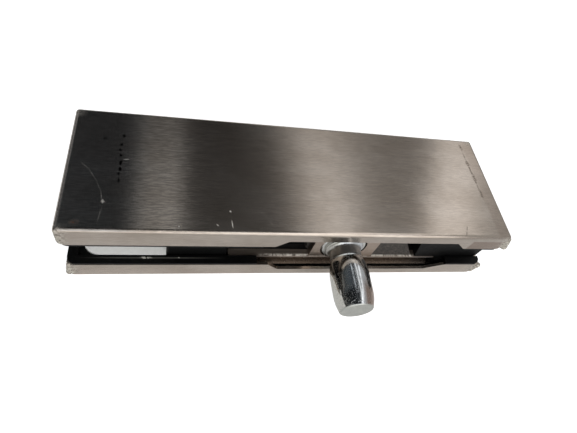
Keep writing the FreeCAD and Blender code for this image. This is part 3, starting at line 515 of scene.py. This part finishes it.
# the share of that distance that a run also lies out towards the pin
EDGE_SHARE, FOLD_SHARE = 0.4, 0.3
for cover, end, edge, fold, crest in PROUD:
    bead_line(cover, (ends[end] + end * edge * MM, near - edge * EDGE_SHARE * MM),
              (ends[end] + end * fold * MM, near - fold * FOLD_SHARE * MM), crest)
beads = grown("corner_welds", wires, pairs, bead_tree(),
              Spacing=SPACING * MM, Bead=BEAD * MM, Seed=SEED, Finish=ground_weld())
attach(beads, "frame")

FLOOR_Z = -16.05 * MM  # just under the rear cover, whose outer face is at -16
FLOOR_SIZE = 6.0
FLOOR_GLOW = 0.72      # what the floor lacks to be white before the camera
FLOOR_MIRRORED = 0.5   # the share of that glow that a mirror sees


# Floor: plain and pale, white where the camera sees it
def pale_ground():
    made = bpy.data.materials.new("pale ground")
    made.use_nodes = True
    tree = made.node_tree
    tree.nodes.clear()
    rays = add(tree, "ShaderNodeLightPath", out=None)
    dull = add(tree, "ShaderNodeBsdfDiffuse", {"Color": "#f6f6f6", "Roughness": 1.0})
    glow = add(tree, "ShaderNodeEmission", {"Color": grey(1.0), "Strength": FLOOR_GLOW})
    both = add(tree, "ShaderNodeAddShader", [dull, glow])
    seen = any_of(tree, rays["Is Camera Ray"], rays["Is Transmission Ray"],
                  all_of(tree, rays["Is Glossy Ray"], FLOOR_MIRRORED))
    ground = add(tree, "ShaderNodeMixShader", [seen, dull, both])
    # seen from below, the floor isn't there
    below = add(tree, "ShaderNodeNewGeometry", out="Backfacing")
    clear = add(tree, "ShaderNodeBsdfTransparent")
    shown = add(tree, "ShaderNodeMixShader", [below, ground, clear])
    add(tree, "ShaderNodeOutputMaterial", {"Surface": shown}, None)
    return made


bpy.ops.mesh.primitive_plane_add(size=FLOOR_SIZE, location=(0, 0, FLOOR_Z))
floor = bpy.context.object
floor.name = "floor"
floor.data.materials.append(pale_ground())

# Studio: a roof drawn in bands, dark on the left with a dim window, lights in
# the middle and on the right. A direction's place on it is how far it leans to
# the right and to the back for its rise
world = bpy.data.worlds.new("studio")
scene.world = world
world.use_nodes = True
sky = world.node_tree
LEAST_RISE = 0.05
ROOF_LEFT, ROOF_RIGHT = -0.4, 1.1
across, behind, up = add(sky, SPLIT, [add(sky, "ShaderNodeTexCoord", out="Generated")], None)
rise = any_of(sky, up, LEAST_RISE)
lean = add(sky, MATH, [across, rise], operation="DIVIDE")
back = add(sky, MATH, [behind, rise], operation="DIVIDE")


def bands(value, stops):
    """Greys or colours from the roof's left to its right, by lean."""
    width = ROOF_RIGHT - ROOF_LEFT
    return add(sky, RAMP, [add(sky, RANGE, [value, ROOF_LEFT, ROOF_RIGHT])],
               stops=[((at - ROOF_LEFT) / width, light) for at, light in stops])


# a dim window band on the left and the edge of the ceiling lights in the middle
fixed = bands(lean, [
    (-0.40, 0.14), (-0.20, 0.08), (-0.116, 0.04), (-0.098, 0.85), (-0.074, 0.85), (-0.050, 0.62),
    (-0.027, 1.15), (-0.004, 1.15), (0.014, 0.14), (0.105, 0.14), (0.264, 0.11), (0.310, 0.16),
    (0.350, 0.66), (0.423, 1.48), (0.456, 1.44), (0.506, 0.92), (0.565, 0.42), (0.623, 0.36),
    (1.10, 0.36)])
# the light on the right, its near edge slanting away
slant = all_of(sky, add(sky, MATH, [back, 0.606], operation="SUBTRACT"), 0.42)
right_light = bands(add(sky, MATH, [lean, slant], operation="SUBTRACT"), [
    (0.707, 0.0), (0.745, 0.30), (0.78, 1.15), (0.858, 1.50), (0.925, 1.15), (0.983, 0.45),
    (1.06, 0.28), (1.10, 0.28)])
# far back the roof is dark on the left, and less so on the right
deep = add(sky, RANGE, [back, 0.56, 0.92])
shade = coated(sky, grey(0.06), (add(sky, RANGE, [lean, 0.15, 0.30]), grey(0.72), "MIX"))
# the window band ends above the fitting
ended = all_of(sky, add(sky, RANGE, [back, 0.5, 0.2]), add(sky, RANGE, [lean, 0.2, 0.1]))
dim = coated(sky, grey(1.0), (deep, shade, "MIX"), (ended, grey(0.12), "MIX"))
# daylight on the left is a little bluer
daylight = bands(lean, [(-0.145, "#e4f3ff"), (-0.10, "#f6fbff"), (0.245, "#f6fbff"),
                        (0.32, "#ffffff")])
# a paler stretch far off on the left, which the plate shows from other sides
far_left = all_of(sky, add(sky, RANGE, [lean, -0.45, -0.60]), add(sky, RANGE, [back, 0.80, 1.0]))
# the horizon is pale, and dark on the left
dark_left = add(sky, RANGE, [across, -0.38, -0.62])
horizon = coated(sky, grey(0.62), (dark_left, grey(0.05), "MIX"))
# the camera sees plain white behind the object
camera_ray = add(sky, "ShaderNodeLightPath", out="Is Camera Ray")
light = coated(sky, fixed,
               (1.0, right_light, "ADD"),
               (1.0, dim, "MULTIPLY"),
               (1.0, daylight, "MULTIPLY"),
               (far_left, grey(0.50), "MIX"),
               (add(sky, RANGE, [up, 0.50, 0.16]), horizon, "MIX"),
               (camera_ray, grey(1.0), "MIX"))
feed(sky, sky.nodes["Background"], {"Color": light, "Strength": 1.0})


def softbox(name, place, aim, size, glow):
    """A rectangular lamp. glow is its own brightness, 1 is white."""
    data = bpy.data.lights.new(name, "AREA")
    data.shape = "RECTANGLE"
    data.size, data.size_y = size
    data.energy = glow * math.pi * size[0] * size[1]
    made = bpy.data.objects.new(name, data)
    scene.collection.objects.link(made)
    made.location = place
    made.rotation_euler = (Vector(aim) - Vector(place)).to_track_quat("-Z", "Y").to_euler()


softbox("front softbox", place=(-0.1, -0.75, 0.42), aim=(-0.04, 0.02, 0),
        size=(1.7, 1.0), glow=1.55)

# Camera: its place, turn and angle of view are solved from the photograph's
# perspective
LENS = 26.3416
SENSOR = 36.0
NEAREST = 0.005
EYE = (-0.0625417, -0.0568721, 0.1354889)
RIGHTWARDS = Vector((0.9672506, -0.11151937, 0.22801249))
DOWNWARDS = Vector((0.02755372, -0.84687085, -0.53108432))
FORWARDS = Vector((0.25232332, 0.51997422, -0.81606358))
optics = bpy.data.cameras.new("camera")
optics.lens = LENS
optics.sensor_width = SENSOR
optics.clip_start = NEAREST
camera = bpy.data.objects.new("camera", optics)
scene.collection.objects.link(camera)
turned = Matrix((RIGHTWARDS, -DOWNWARDS, -FORWARDS)).transposed()
camera.matrix_world = Matrix.Translation(EYE) @ turned.to_4x4()
scene.camera = camera
